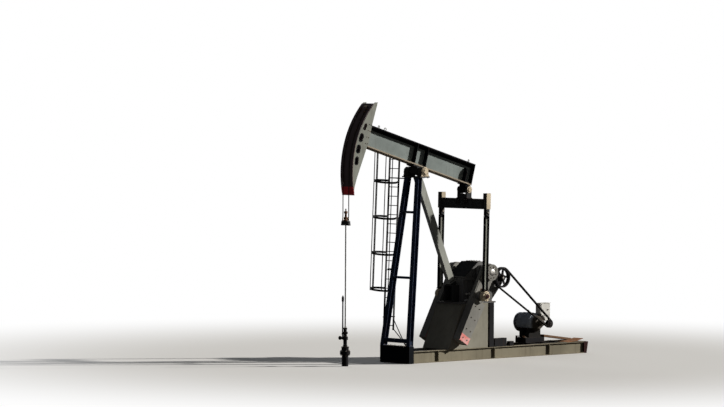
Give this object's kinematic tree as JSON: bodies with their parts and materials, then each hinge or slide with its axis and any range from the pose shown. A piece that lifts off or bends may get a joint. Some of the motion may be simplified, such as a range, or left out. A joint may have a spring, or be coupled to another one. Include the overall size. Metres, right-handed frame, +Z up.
{
  "type": "pumpjack",
  "caption": "Crank-balanced beam pumping unit with a walking beam, horsehead, Samson post, gearbox, belt drive and wellhead on a skid base",
  "frame": {"origin": "on the ground, straight under the centre bearing, in the underside of the base cross-member there", "axes": "+X from the well to the motor, +Y across the unit, +Z up"},
  "size_m": [9.7099, 2.238, 7.5684],
  "materials": {
    "grey_paint": "faded light grey paint, chalky and dusty",
    "dark_paint": "worn dark grey paint with rust streaks",
    "gearbox_paint": "oil-stained near-black paint",
    "motor_paint": "blue-grey enamel",
    "white_paint": "white enamel, dusty",
    "black_paint": "black paint, oily",
    "cast_weight": "painted casting with red tips, faded",
    "bare_steel": "machined steel",
    "rusty_steel": "brown rusted steel",
    "wire_rope": "greased wire rope",
    "wood": "weathered timber",
    "belt_rubber": "black rubber"
  },
  "bodies": {
    "root": {"base_runner_near": "grey_paint", "base_runner_far": "grey_paint", "base_crossmembers": "grey_paint", "base_front_block": "dark_paint", "base_nose": "grey_paint", "post_front_legs": "grey_paint", "post_girts": "dark_paint", "post_rear_leg": "grey_paint", "post_cap": "dark_paint", "centre_bearing_housings": "grey_paint", "ladder": "dark_paint", "ladder_rungs": "dark_paint", "ladder_cage": "dark_paint", "gearbox_pedestal": "grey_paint", "pedestal_columns": "dark_paint", "rear_leg_stool": "dark_paint", "gearbox_housing": "gearbox_paint", "gearbox_cover": "gearbox_paint", "motor_body": "motor_paint", "motor_terminal_box": "white_paint", "motor_rails": "dark_paint", "motor_plank": "wood", "drive_belts": "belt_rubber", "casing_head": "black_paint", "pumping_tee": "black_paint", "stuffing_box": "black_paint"},
    "beam": {"walking_beam": "grey_paint", "beam_stiffeners": "dark_paint", "beam_saddle": "dark_paint", "centre_shaft": "bare_steel", "horsehead_sides": "grey_paint", "horsehead_face": "dark_paint", "tail_bracket": "dark_paint", "bridle_wrap": "wire_rope"},
    "equalizer": {"equalizer_beam": "dark_paint", "equalizer_bearing": "dark_paint", "pitmans": "grey_paint", "wrist_bearings": "grey_paint"},
    "cranks": {"crankshaft": "bare_steel", "crank_near": "grey_paint", "crank_far": "grey_paint", "counterweight_near": "cast_weight", "counterweight_far": "cast_weight"},
    "rod": {"bridle_hang": "wire_rope", "carrier_bar": "dark_paint", "rod_clamp": "rusty_steel", "polished_rod": "bare_steel"},
    "sheave": {"gearbox_sheave": "cast_weight", "input_shaft": "bare_steel"},
    "pulley": {"motor_pulley": "cast_weight"}
  },
  "joints": [
    {"name": "beam_rock", "type": "hinge", "parent": "root", "child": "beam", "pos_m": [0, 0, 5.55], "axis": [0, 1, 0], "range_deg": [-40.99, 4.06]},
    {"name": "equalizer_pivot", "type": "hinge", "parent": "beam", "child": "equalizer", "pos_m": [1.99472, 0, 4.99682], "axis": [0, 1, 0], "range_deg": [-3.27, 32.98]},
    {"name": "crank_turn", "type": "hinge", "parent": "root", "child": "cranks", "pos_m": [2.33, 0, 2.57], "axis": [0, 1, 0], "range_deg": [-14.14, 142.7]},
    {"name": "rod_lift", "type": "slide", "parent": "root", "child": "rod", "axis": [0, 0, 1], "range_m": [-2.00308, 0.19848]},
    {"name": "sheave_spin", "type": "hinge", "parent": "root", "child": "sheave", "pos_m": [3.12, 0, 2.38], "axis": [0, 1, 0], "continuous": true},
    {"name": "motor_spin", "type": "hinge", "parent": "root", "child": "pulley", "pos_m": [5.14, 0, 0.94], "axis": [0, 1, 0], "continuous": true}
  ],
  "couplings": [
    {"joint": "equalizer_pivot", "follows": "beam_rock", "ratio": -0.8046},
    {"joint": "crank_turn", "follows": "beam_rock", "ratio": -3.4815},
    {"joint": "rod_lift", "follows": "beam_rock", "m_per_rad": 2.8},
    {"joint": "motor_spin", "follows": "sheave_spin", "ratio": 2.8095}
  ]
}
